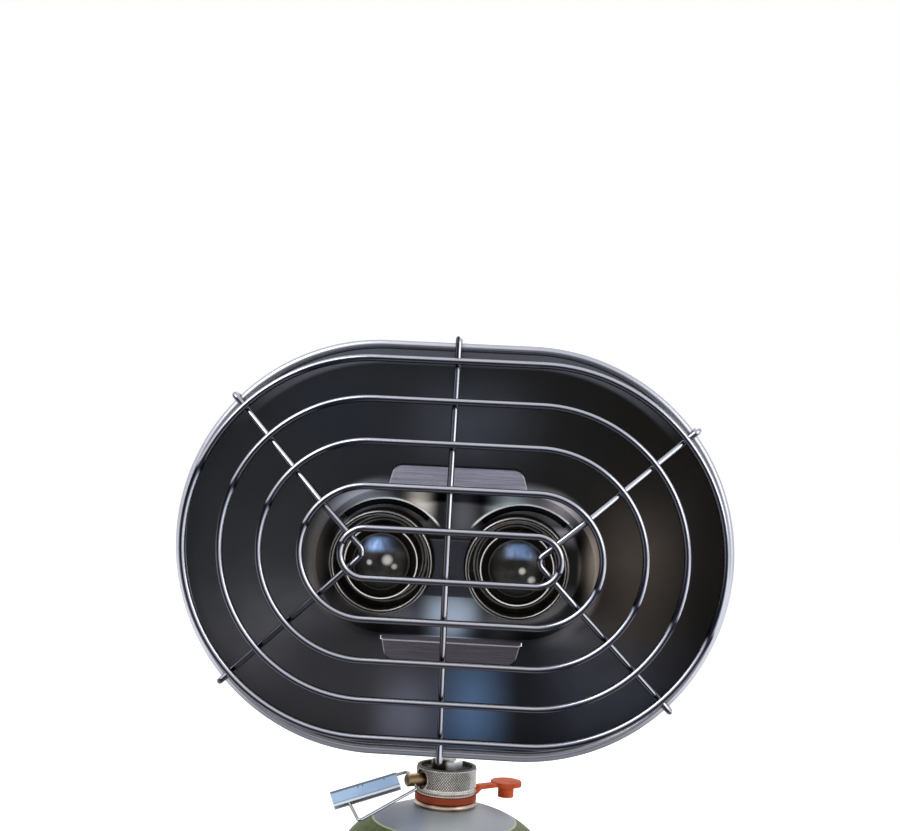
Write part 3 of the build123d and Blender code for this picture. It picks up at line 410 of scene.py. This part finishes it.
def makeReflectorSteel():
    look = reflectorLook
    steel = Finish("reflectorSteel", look["left"], 0.3, 1.0)
    across, up, out = onHead(steel)
    # painted shade and reflection by place on the head
    colour = steel.mix(steel.ramp(across, *look["leftToRight"]), look["left"], look["right"])
    low = steel.ramp(up, *look["lowUp"])
    colour = steel.mix(low * steel.ramp(across, *look["lowAcross"]), colour, look["low"])
    lowRight = low * steel.ramp(across, *look["lowRightAcross"])
    colour = steel.mix(lowRight, colour, look["lowRight"])

    # how much of a painted patch of light or shade a point takes
    def cover(patch):
        (middle, height), (wide, tall) = patch["at"], patch["fade"]
        return steel.hump(across, middle, wide) * steel.hump(up, height, tall) * patch["strength"]

    for patch in look["patches"]:
        colour = steel.mix(cover(patch), colour, patch["colour"])
    # painted shade where the sheet turns into the well
    inWell = steel.ramp(out, *look["wellDarkOut"])
    colour = steel.mix(inWell * look["wellDarkShare"], colour, look["slot"])
    painted = 0.0
    # painted light and shade on the well's walls
    for patch in look["wellPatches"]:
        here = cover(patch) * steel.ramp(out, *look["wellPatchesOut"])
        colour = steel.mix(here, colour, patch["colour"])
        painted = painted + here

    # painted shade inside each brow and a painted highlight on its edge
    browApart = steel.length(
        steel.size(across - browLook["shift"]) - browLook["apart"], up + browLook["drop"]
    )
    above = steel.ramp(up, *browLook["up"]) * steel.ramp(out, *browLook["out"])
    inside = steel.ramp(browApart, *browLook["inside"]) * above * browLook["insideShare"]
    colour = steel.mix(inside, colour, look["slot"])
    edge = steel.hump(browApart, browLook["edgeRadius"], browLook["edgeFade"]) * above
    colour = steel.mix(edge, colour, browLook["edge"])
    clouds = steel.patches(30, 4, 0.35, 0.75) * look["clouds"]
    colour = steel.mix(clouds, colour, look["slot"])
    # painted reflection on the rolled rim
    colour = rimPaint(steel, colour, across, up, out)
    back = steel.ramp(steel.facing(headOut), 0.0, -0.15) * steel.ramp(out, *look["backOut"])
    steel.set("Base Color", steel.mix(back, colour, look["behind"]))
    steel.set("Metallic", 1.0 - painted.atMost(1.0) * look["painted"])
    steel.roughen(120, 4, 0.28, 0.40)
    return steel


makeReflectorSteel().dress("reflector_dish")
print("reflector dressed")

# Burners. Each lip or line is a painted highlight, given as its distance from the burner's
# axis and how far it fades, in mm.
burnerLook = {
    "dark": (0.007, 0.007, 0.007),
    "brown": (0.018, 0.015, 0.013),
    "lip": (0.80, 0.78, 0.75),
    "lips": ((25.5, 0.68), (23.6, 0.64), (18.2, 0.68)),
    "lipShare": 0.9,
    "lipsOut": (-32.6, -31.8),
    "walls": ((21.6, 0.7), (20.0, 0.5)),
    "wallShare": 0.15,
    "outside": (23.2, 23.8),
    "outsideOut": (-32.0, -36.0),
    "outsideShare": 0.7,
    "gauze": (0.02, 0.018, 0.017),
}
# dome: random warm tone, with painted light: lighter low down, a painted highlight round its
# edge, a painted sky reflection with bars across it, and painted glints
domeLook = {
    "steel": (0.010, 0.010, 0.011),
    "warm": (0.026, 0.023, 0.019),
    "low": (0.036, 0.038, 0.036),
    "lowUp": (-3.0, -9.0),
    "edge": (0.34, 0.33, 0.31),
    "edgeAt": (13.9, 0.7),
    "edgeShare": 0.6,
    "sky": (0.17, 0.26, 0.46),
    "skyFoot": (4.0, 7.5),  # mm above the burner's axis
    "skyTop": (13.6, 11.5),
    "skySide": (1.5, 10.0),  # middle and half width
    "bars": 0.3,
    "speck": (0.62, 0.60, 0.57),
    "specks": (
        {"at": (-33.0, -9.4), "size": 3.4, "strength": 0.75},
        {"at": (-41.8, -11.0), "size": 1.8, "strength": 0.7},
        {"at": (-29.5, -12.6), "size": 1.9, "strength": 0.5},
        {"at": (38.5, -16.0), "size": 2.6, "strength": 0.75},
        {"at": (33.6, -11.4), "size": 2.3, "strength": 0.7},
    ),
    "speckCore": 0.3,  # of its size
}


def fromBurner(finish, across, up):  # sideways, upwards and apart from the nearer burner's axis
    sideways = finish.size(across - headPlace["burnerShift"]) - headPlace["burnerSide"]
    upwards = up + headPlace["burnerDrop"]
    return sideways, upwards, finish.length(sideways, upwards)


def makeBurnerSteel():
    look = burnerLook
    steel = Finish("burnerSteel", look["dark"], 0.28, 1.0)
    across, up, out = onHead(steel)
    apart = fromBurner(steel, across, up)[2]
    colour = steel.mix(steel.patches(160, 4, 0.4, 0.7), look["dark"], look["brown"])
    outside = steel.ramp(apart, *look["outside"]) * steel.ramp(out, *look["outsideOut"])
    colour = steel.mix(outside * look["outsideShare"], colour, look["brown"])
    # painted highlights on the cup's lips, and faint painted highlights on its walls
    lips = 0.0
    for middle, fade in look["lips"]:
        lips = lips + steel.hump(apart, middle, fade)
    lips = lips * steel.ramp(out, *look["lipsOut"])
    for middle, fade in look["walls"]:
        lips = lips + steel.hump(apart, middle, fade) * look["wallShare"]
    colour = steel.mix(lips * look["lipShare"], colour, look["lip"])
    back = steel.ramp(steel.facing(headOut), -0.3, -0.6)
    steel.set("Base Color", steel.mix(back, colour, reflectorLook["behind"]))
    steel.roughen(260, 3, 0.18, 0.43)
    return steel


def makeDomeSteel():
    look = domeLook
    steel = Finish("domeSteel", look["steel"], 0.3, 0.8)
    across, up = onHead(steel)[:2]
    sideways, upwards, apart = fromBurner(steel, across, up)
    colour = steel.mix(steel.patches(140, 3, 0.4, 0.62), look["steel"], look["warm"])
    # painted reflection: lighter towards the bottom
    colour = steel.mix(steel.ramp(upwards, *look["lowUp"]), colour, look["low"])
    bars = steel.patches(420, 2, 0.62, 0.42, (1, 1, 0.25)) * look["bars"] + (1 - look["bars"])
    # painted sky reflection near the top, with bars across it
    sky = steel.ramp(upwards, *look["skyFoot"]) * steel.ramp(upwards, *look["skyTop"])
    sky = sky * steel.hump(sideways, *look["skySide"]) * bars
    colour = steel.mix(sky, colour, look["sky"])
    # painted highlight round the dome's edge
    edge = steel.hump(apart, *look["edgeAt"]) * look["edgeShare"]
    colour = steel.mix(edge, colour, look["edge"])
    # painted glints
    for speck in look["specks"]:
        near = steel.length(across - speck["at"][0], up - speck["at"][1])
        near = steel.ramp(near, speck["size"], look["speckCore"] * speck["size"])
        colour = steel.mix(near * speck["strength"], colour, look["speck"])
    steel.set("Base Color", colour)
    steel.roughen(300, 2, 0.3, 0.4)
    return steel


def makeGauze():
    mesh = Finish("gauzeSteel", burnerLook["gauze"], 0.6, 1.0)
    mesh.set("Base Color", mesh.mix(mesh.noise(1800, 2), burnerLook["dark"], burnerLook["brown"]))
    mesh.roughen(1500, 2, 0.4, 0.8)
    mesh.bump(mesh.noise(2500, 1), 0.1, 0.6)
    return mesh


burnerSteel = makeBurnerSteel()
domeSteel = makeDomeSteel()
gauzeSteel = makeGauze()
for side in ("left", "right"):
    burnerSteel.dress(f"burner_cup_{side}", f"burner_ring_{side}")
    domeSteel.dress(f"burner_dome_{side}")
    gauzeSteel.dress(f"burner_gauze_{side}")
print("burners dressed")

# Plain sheet of the bracket's tongues and the bridge, with painted light: the upper tongue lit
# and the lower shaded, painted shade on the parts deep behind the well, and painted
# highlights along the tongues' edges and fold
sheetLook = {
    # the upper tongue lit and the lower shaded: painted light and shade, each with brushed lines
    "upper": (0.30, 0.30, 0.375),
    "upperDark": (0.205, 0.205, 0.255),
    "lower": (0.090, 0.082, 0.102),
    "lowerDark": (0.056, 0.051, 0.064),
    # dark for the painted shade deep behind the well, and for the bridge's random darker mottle
    "hidden": (0.006, 0.007, 0.009),
    "hiddenOut": (-47.0, -50.0),
    "back": (0.34, 0.34, 0.35),
    "edge": (0.62, 0.62, 0.68),
    "edgeShare": 0.6,
    "fold": 37.5,  # mm, from the burners' level to the foot of each tongue
    "foldLine": (1.2, 0.5),  # beyond the foot, and half width
    "halfWidth": 34.7,
    "sideLine": 0.6,
    "taper": 0.3,
    "brushing": 2600,
    "bridge": (0.028, 0.030, 0.038),
    "bridgeEdge": (0.045, 0.045, 0.05),
    "bridgeMiddle": -13.0,
    "bridgeEdgeFrom": (13.2, 13.9),
}


def makeBracketSteel():
    look = sheetLook
    steel = Finish("bracketSteel", look["upper"], 0.34, 1.0)
    across, up, out = onHead(steel)
    lines = steel.patches(look["brushing"], 2, 0.38, 0.68, (0.015, 1, 1))
    below = steel.ramp(up, 2, -2)
    colour = steel.mix(
        below,
        steel.mix(lines, look["upper"], look["upperDark"]),
        steel.mix(lines, look["lower"], look["lowerDark"]),
    )
    # painted highlights along the tongues' sides and the lower tongue's fold
    beyond = steel.size(up + headPlace["burnerDrop"]) - look["fold"]
    toSide = steel.size(across) - look["halfWidth"] + beyond * look["taper"]
    edge = steel.hump(toSide, 0, look["sideLine"]) * steel.ramp(beyond, 0, 1)
    edge = edge + steel.hump(beyond, *look["foldLine"]) * below
    colour = steel.mix(edge * look["edgeShare"], colour, look["edge"])
    # painted shade where the sheet lies deep behind the well
    colour = steel.mix(steel.ramp(out, *look["hiddenOut"]), colour, look["hidden"])
    colour = steel.mix(steel.ramp(steel.facing(headOut), -0.2, -0.5), colour, look["back"])
    steel.set("Base Color", colour)
    steel.set("Roughness", lines * 0.16 + 0.26)
    steel.bump(lines, 0.015, 0.3)
    return steel


def makeBridgeSteel():
    look = sheetLook
    steel = Finish("bridgeSteel", look["bridge"], 0.3, 1.0)
    fromMiddle = steel.size(steel.along(headUp, headMiddle) - look["bridgeMiddle"])
    edge = steel.ramp(fromMiddle, *look["bridgeEdgeFrom"])
    colour = steel.mix(edge, look["bridge"], look["bridgeEdge"])
    clouds = steel.patches(60, 3, 0.4, 0.7) * 0.5
    steel.set("Base Color", steel.mix(clouds, colour, look["hidden"]))
    steel.roughen(300, 3, 0.22, 0.42)
    return steel


makeBracketSteel().dress("rear_bracket")
makeBridgeSteel().dress("burner_bridge")
print("bracket and bridge dressed")

# Fittings behind and below the head
fittingLook = {
    "plated": (0.42, 0.42, 0.42),
    "platedDull": (0.30, 0.30, 0.295),
    "brass": (0.23, 0.16, 0.09),
    "brassDark": (0.11, 0.075, 0.045),
    "brassBright": (0.46, 0.33, 0.17),
    "brassDull": (0.25, 0.17, 0.08),
    # blackened steel's colour, also used for the painted shade on the nut
    "blackened": (0.035, 0.024, 0.018),
    "soot": (0.018, 0.014, 0.012),
    "nut": (0.70, 0.70, 0.72),
    # painted shade on the nut's front left
    "nutDarkX": (1.5, -1.0),  # mm, where the nut's front left darkens
    "nutDarkY": (2, -2),
}


def makeTurned(name, light, dark, roughness, grain=70):
    metal = Finish(name, light, roughness, 1.0)
    metal.set("Base Color", metal.mix(metal.patches(grain, 4, 0.38, 0.7) * 0.8, light, dark))
    metal.roughen(5 * grain, 3, roughness - 0.1, roughness + 0.15)
    metal.bump(metal.noise(4000, 2, (1, 1, 0.3)), 0.02, 0.3)
    return metal


def makeNutSteel():
    look = fittingLook
    steel = Finish("nutSteel", look["nut"], 0.4, 1.0)
    x, y = steel.axes()[:2]
    # painted shade on the nut's front left
    front = steel.ramp(x, *look["nutDarkX"]) * steel.ramp(y, *look["nutDarkY"])
    steel.set("Base Color", steel.mix(front, look["nut"], look["blackened"]))
    steel.roughen(400, 3, 0.35, 0.55)
    return steel


makeNutSteel().dress("riser_nut")
makeTurned("platedSteel", fittingLook["plated"], fittingLook["platedDull"], 0.32).dress(
    "riser_tube", "riser_eye", "head_clevis", "pivot_bolt", "pivot_nut",
    "pivot_washers", "mixing_tube_left", "mixing_tube_right", "tube_spacer_left",
    "tube_spacer_right", "jam_nut_left", "jam_nut_right",
)
makeTurned("wornBrass", fittingLook["brass"], fittingLook["brassDark"], 0.36, 260).dress(
    "valve_spindle", "valve_probe"
)
makeTurned("cleanBrass", fittingLook["brassBright"], fittingLook["brassDull"], 0.32, 160).dress(
    "feed_pipe", "manifold", "manifold_plugs", "gas_jet_left", "gas_jet_right",
    "canister_valve_pin",
)
makeTurned("blackenedSteel", fittingLook["blackened"], fittingLook["soot"], 0.45).dress(
    "spindle_gland"
)
print("fittings dressed")

# Collar, with a diamond knurl standing a little proud of it above and below the groove.
# Its colour holds painted light: shaded on the left, lit on the right, with painted shade in
# the hollow and the knurl's valleys. Heights, radii and places across are in mm.
collarLook = {
    # dark: the painted shade on the left, and the colour of the stains
    "dark": (0.30, 0.245, 0.20),
    "darkToPlain": (-14, -5),
    "plain": (0.80, 0.77, 0.75),
    "plainToBright": (4, 14),
    "bright": (0.84, 0.83, 0.80),
    "warm": (0.42, 0.35, 0.295),
    "warmUp": (95.0, 93.5),
    "warmShare": 0.7,
    "groove": (0.40, 0.39, 0.365),
    "grooveAt": (94.95, 0.6),
    "hollow": (0.006, 0.0055, 0.006),
    "hollowRadius": (13.9, 13.4),
    "hollowUp": (103.0, 104.0),
    "stains": 0.35,
    "valley": (0.075, 0.07, 0.062),
    "valleyTop": (15.72, 15.50),
    "valleyFoot": (15.44, 15.47),
    "edge": (0.11, 0.108, 0.104),
    "edgeUp": (105.4, 105.8),
    "edgeRadius": (13.2, 13.5),
    "rougher": 0.45,  # in the hollow and on the edge
}
knurlLook = {
    "radius": 15.45,  # mm
    "proud": 0.42,
    "buried": 0.04,
    "floor": 0.03,  # of the valleys above the collar
    "columns": 148,
    "step": 0.78,  # between rows
    "bands": ((92.7, 94.55), (95.35, 105.7)),  # bottom and top
    "portEdge": 5.25,
    "portFade": 5.9,
}


def makeCollar():
    look = collarLook
    alloy = Finish("valveAlloy", look["plain"], 0.4, 0.85)
    x, y, z = alloy.axes()
    apart = alloy.length(x, y)
    # painted shade on the left and painted light on the right
    colour = alloy.mix(alloy.ramp(x, *look["darkToPlain"]), look["dark"], look["plain"])
    colour = alloy.mix(alloy.ramp(x, *look["plainToBright"]), colour, look["bright"])
    warm = alloy.ramp(z, *look["warmUp"]) * look["warmShare"]
    colour = alloy.mix(warm, colour, look["warm"])
    colour = alloy.mix(alloy.hump(z, *look["grooveAt"]), colour, look["groove"])
    # painted shade in the hollow
    inside = alloy.ramp(apart, *look["hollowRadius"]) * alloy.ramp(z, *look["hollowUp"])
    colour = alloy.mix(inside, colour, look["hollow"])
    stains = alloy.patches(260, 3, 0.45, 0.7) * look["stains"]
    colour = alloy.mix(stains, colour, look["dark"])
    # painted shade in the knurl's valleys
    valley = alloy.ramp(apart, *look["valleyTop"]) * alloy.ramp(apart, *look["valleyFoot"])
    colour = alloy.mix(valley, colour, look["valley"])
    edge = alloy.ramp(z, *look["edgeUp"]) * alloy.ramp(apart, *look["edgeRadius"])
    alloy.set("Base Color", alloy.mix(edge, colour, look["edge"]))
    grain = alloy.noise(700, 3) * 0.2 + 0.3
    alloy.set("Roughness", grain + (inside + edge) * look["rougher"])
    return alloy


def makeKnurl(bottom, top):
    look = knurlLook
    columns = look["columns"]
    port = joints["valve_turn"]
    portAxis = Vector(port["axis"]).normalized()
    portHeight = Vector(port["pos_m"]) / mm
    sunk = look["radius"] - look["buried"]
    rows = round((top - bottom) / look["step"])
    made = bmesh.new()
    rings = []
    for row in range(rows + 1):
        ring = []
        inBand = 0 < row < rows
        for column in range(columns):
            angle = 2 * math.pi * column / columns
            outwards = Vector((math.cos(angle), math.sin(angle), 0))
            spot = outwards * sunk
            spot.z = bottom + (top - bottom) * row / rows
            fromPort = spot - portHeight
            ahead = fromPort.dot(portAxis)
            aside = (fromPort - portAxis * ahead).length if ahead > 0 else 2 * sunk
            if aside < look["portEdge"]:
                ring.append(None)
                continue
            if aside > look["portFade"] and inBand:
                raised = (row + column) % 2 == 0
                spot += outwards * (look["buried"] + look["proud" if raised else "floor"])
            ring.append(made.verts.new(spot * mm))
        rings.append(ring)
    for row, (low, high) in enumerate(zip(rings, rings[1:])):
        for column in range(columns):
            beside = (column + 1) % columns
            corners = (low[column], low[beside], high[beside], high[column])
            if None in corners:
                continue
            if (row + column) % 2:
                corners = (*corners[1:], corners[0])
            made.faces.new((corners[0], corners[1], corners[3]))
            made.faces.new((corners[1], corners[2], corners[3]))
    mesh = bpy.data.meshes.new("knurl")
    made.to_mesh(mesh)
    made.free()
    sleeve = bpy.data.objects.new("knurl", mesh)
    bpy.context.scene.collection.objects.link(sleeve)
    return sleeve


valveAlloy = makeCollar()
valveAlloy.dress("valve_body")
for bottom, top in knurlLook["bands"]:
    sleeve = makeKnurl(bottom, top)
    valveAlloy.dress(sleeve)
    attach(sleeve, "valve")
print("collar knurled")

# Handle: the grip is a bright folded sheet, with painted shade along its ridge and crease and
# a painted highlight on its open lip. Depths are in mm below the ridge.
gripLook = {
    "pale": (0.43, 0.58, 0.82),
    "deep": (0.35, 0.49, 0.73),
    "ridge": (0.15, 0.18, 0.24),
    "ridgeDepth": (1.3, 0.7),
    "crease": (7.7, 0.5),  # depth and half width
    "creaseShare": 0.6,
    "lip": (0.80, 0.84, 0.90),
    "lipDepth": (8.1, 8.6),
    "mark": (0.05, 0.06, 0.08),
    "markDepth": (1.6, 1.2),
    "marks": ((13.0, 0.5), (24.5, 0.5), (27.0, 0.5)),  # mm from the root, and half width
    "droop": 24.0,  # degrees, of the handle below the spindle's axis
    "halfRoot": 6.5,  # mm
    "splay": 7.8,  # degrees, of each leg
}


def makeGripSheet():
    look = gripLook
    sheet = Finish("gripSheet", look["pale"], 0.3, 0.7)
    spindleWay = Vector(joints["valve_turn"]["axis"])
    hingeWay = Vector(joints["handle_fold"]["axis"])
    droop = math.radians(look["droop"])
    splay = math.radians(look["splay"])
    legWay = spindleWay * math.cos(droop) + spindleWay.cross(hingeWay) * math.sin(droop)
    ridgeWay = hingeWay * math.cos(splay) - legWay * math.sin(splay)
    gripWay = legWay * math.cos(splay) + hingeWay * math.sin(splay)
    root = Vector(joints["handle_fold"]["pos_m"]) + hingeWay * look["halfRoot"] * mm
    depth = sheet.along(-ridgeWay, root)
    length = sheet.along(gripWay, root)
    colour = sheet.mix(sheet.patches(45, 2, 0.35, 0.65), look["pale"], look["deep"])
    # painted shade along the ridge and the crease, and a painted highlight on the lip
    colour = sheet.mix(sheet.ramp(depth, *look["ridgeDepth"]), colour, look["ridge"])
    crease = sheet.hump(depth, *look["crease"]) * look["creaseShare"]
    colour = sheet.mix(crease, colour, look["ridge"])
    colour = sheet.mix(sheet.ramp(depth, *look["lipDepth"]), colour, look["lip"])
    for middle, half in look["marks"]:
        mark = sheet.hump(length, middle, half) * sheet.hump(depth, *look["markDepth"])
        colour = sheet.mix(mark, colour, look["mark"])
    sheet.set("Base Color", colour)
    sheet.roughen(500, 3, 0.25, 0.40)
    return sheet


makeGripSheet().dress("handle_grip")
guardWire.dress("handle_wire")

# Rubber
rubberLook = {
    "orange": (0.68, 0.125, 0.050),
    "orangeDark": (0.52, 0.085, 0.034),
    "shade": (0.06, 0.018, 0.012),
    "shadeRadius": (17.5, 16.4),  # mm, of the ring under the collar
    "shadeShare": 0.55,
    "black": (0.02, 0.02, 0.02),
    "blackDull": (0.035, 0.035, 0.035),
    "specular": 0.04,
}


def makeRubber(name, light, dark):
    look = rubberLook
    rubber = Finish(name, light, 0.5, specular=look["specular"])
    colour = rubber.mix(rubber.patches(150, 4, 0.35, 0.75), light, dark)
    x, y = rubber.axes()[:2]
    shade = rubber.ramp(rubber.length(x, y), *look["shadeRadius"]) * look["shadeShare"]
    rubber.set("Base Color", rubber.mix(shade, colour, look["shade"]))
    rubber.roughen(800, 3, 0.35, 0.65)
    rubber.bump(rubber.noise(3000, 3), 0.04, 0.2)
    return rubber


makeRubber("orangeRubber", rubberLook["orange"], rubberLook["orangeDark"]).dress("dust_cap")
makeRubber("blackRubber", rubberLook["black"], rubberLook["blackDull"]).dress(
    "thread_seal", "pivot_seals", "canister_valve_core"
)
print("handle and rubber dressed")

# Canister. Its silver dome holds painted light: lit in the middle, shaded to either side,
# with a painted bluish reflection streak. Places across and radii are in mm.
canisterLook = {
    # painted light and shade across the dome
    "left": (0.22, 0.235, 0.285),
    "leftToMiddle": (-32, -4),
    "middle": (0.46, 0.50, 0.52),
    "middleToRight": (2, 30),
    "right": (0.33, 0.345, 0.40),
    "streak": (0.27, 0.33, 0.46),
    "streakAt": (-14, 9),
    "streakShare": 0.6,
    "green": (0.092, 0.122, 0.028),
    "greenDark": (0.058, 0.080, 0.018),
    "greenPale": (0.125, 0.158, 0.048),
    "line": (0.46, 0.52, 0.36),
    "bandStart": 37.0,  # from the axis, on the dome
    "lineWidth": 0.9,
    "lineFade": 0.2,
    "specular": 0.25,
    "cup": (0.52, 0.40, 0.31),
    "cupDark": (0.20, 0.14, 0.11),
    "liquid": (0.6, 0.65, 0.7),
    "liquidDark": (0.5, 0.55, 0.6),
}


def makeCanisterPaint():
    look = canisterLook
    paint = Finish("canisterPaint", look["middle"], 0.35, specular=look["specular"])
    x, y = paint.axes()[:2]
    radius = paint.length(x, y)
    # painted light and shade across the dome, and a painted reflection streak
    silver = paint.mix(paint.ramp(x, *look["leftToMiddle"]), look["left"], look["middle"])
    silver = paint.mix(paint.ramp(x, *look["middleToRight"]), silver, look["right"])
    streak = paint.hump(x, *look["streakAt"]) * look["streakShare"]
    silver = paint.mix(streak, silver, look["streak"])
    green = paint.mix(paint.patches(260, 5, 0.35, 0.7), look["green"], look["greenDark"])
    green = paint.mix(paint.patches(60, 3, 0.4, 0.8), green, look["greenPale"])

    def beyond(start):
        return paint.ramp(radius, start, start + look["lineFade"])

    band = beyond(look["bandStart"])
    line = band - beyond(look["bandStart"] + look["lineWidth"])
    colour = paint.mix(band, silver, green)
    paint.set("Base Color", paint.mix(line, colour, look["line"]))
    paint.roughen(300, 3, 0.5, 0.6)
    return paint


makeCanisterPaint().dress("canister_body")
makeTurned("cupSteel", canisterLook["cup"], canisterLook["cupDark"], 0.3, 120).dress(
    "canister_valve_cup"
)
makeTurned("liquidGas", canisterLook["liquid"], canisterLook["liquidDark"], 0.4).dress(
    "canister_fuel"
)
print("canister dressed")

# Stage: floor and surroundings are white to the camera and in reflections
stageLook = {
    "size": 14.0,
    "floor": (0.86, 0.86, 0.86),
    "white": (1, 1, 1),
    "lift": 0.62,
    "nearLift": (0.3, 0.3, 0.3),  # share of the lift under the part, so that its shadow shows
    "near": (90.0, 420.0),  # mm from the part's axis
    "world": 0.5,
}


def makeStage():
    bpy.ops.mesh.primitive_plane_add(size=stageLook["size"])
    floor = bpy.context.object
    floor.name = "floor"
    paint = Finish("floorPaint", stageLook["floor"], 0.9, specular=0.0)
    away = paint.ramp(paint.distance((0, 0, 0)), *stageLook["near"])
    paint.set("Emission Color", paint.mix(away, stageLook["nearLift"], stageLook["white"]))
    paint.set("Emission Strength", paint.seenAs(0.0, stageLook["lift"]))
    floor.data.materials.append(paint.material)

    world = bpy.data.worlds.new("studio")
    bpy.context.scene.world = world
    world.use_nodes = True
    studio = Graph(world.node_tree, "Background")
    studio.set("Color", (*stageLook["white"], 1))
    studio.set("Strength", studio.seenAs(stageLook["world"], 1.0))


makeStage()

lampAim = Vector((0, 0, 0.18))
lamps = {
    "keyLamp": {"place": (-0.9, -1.1, 1.3), "size": 1.3, "watts": 16},
    "fillLamp": {"place": (1.2, -1.0, 0.7), "size": 1.0, "watts": 7},
    "backLamp": {"place": (0.3, 1.2, 1.2), "size": 1.4, "watts": 10},
}
for lampName, lamp in lamps.items():
    light = bpy.data.lights.new(lampName, "AREA")
    light.shape = "DISK"
    light.size = lamp["size"]
    light.energy = lamp["watts"]
    holder = bpy.data.objects.new(lampName, light)
    bpy.context.scene.collection.objects.link(holder)
    holder.location = lamp["place"]
    holder.rotation_mode = "QUATERNION"
    holder.rotation_quaternion = (lampAim - holder.location).to_track_quat("-Z", "Y")

view = {
    "place": (0.0201, -0.6931, 0.2554),
    "aim": (-0.0047, -0.0744, 0.2866),
    "roll": 2.88,  # degrees
    "lens": 52.0,  # mm
    "sensor": 36.0,
}
camera = bpy.data.objects.new("camera", bpy.data.cameras.new("camera"))
bpy.context.scene.collection.objects.link(camera)
camera.location = view["place"]
camera.rotation_mode = "QUATERNION"
camera.rotation_quaternion = (
    Vector(view["aim"]) - camera.location
).to_track_quat("-Z", "Y") @ Quaternion((0, 0, 1), math.radians(view["roll"]))
camera.data.lens = view["lens"]
camera.data.sensor_width = view["sensor"]
bpy.context.scene.camera = camera
bpy.context.scene.view_settings.view_transform = "Standard"
print("stage, lamps and camera set")
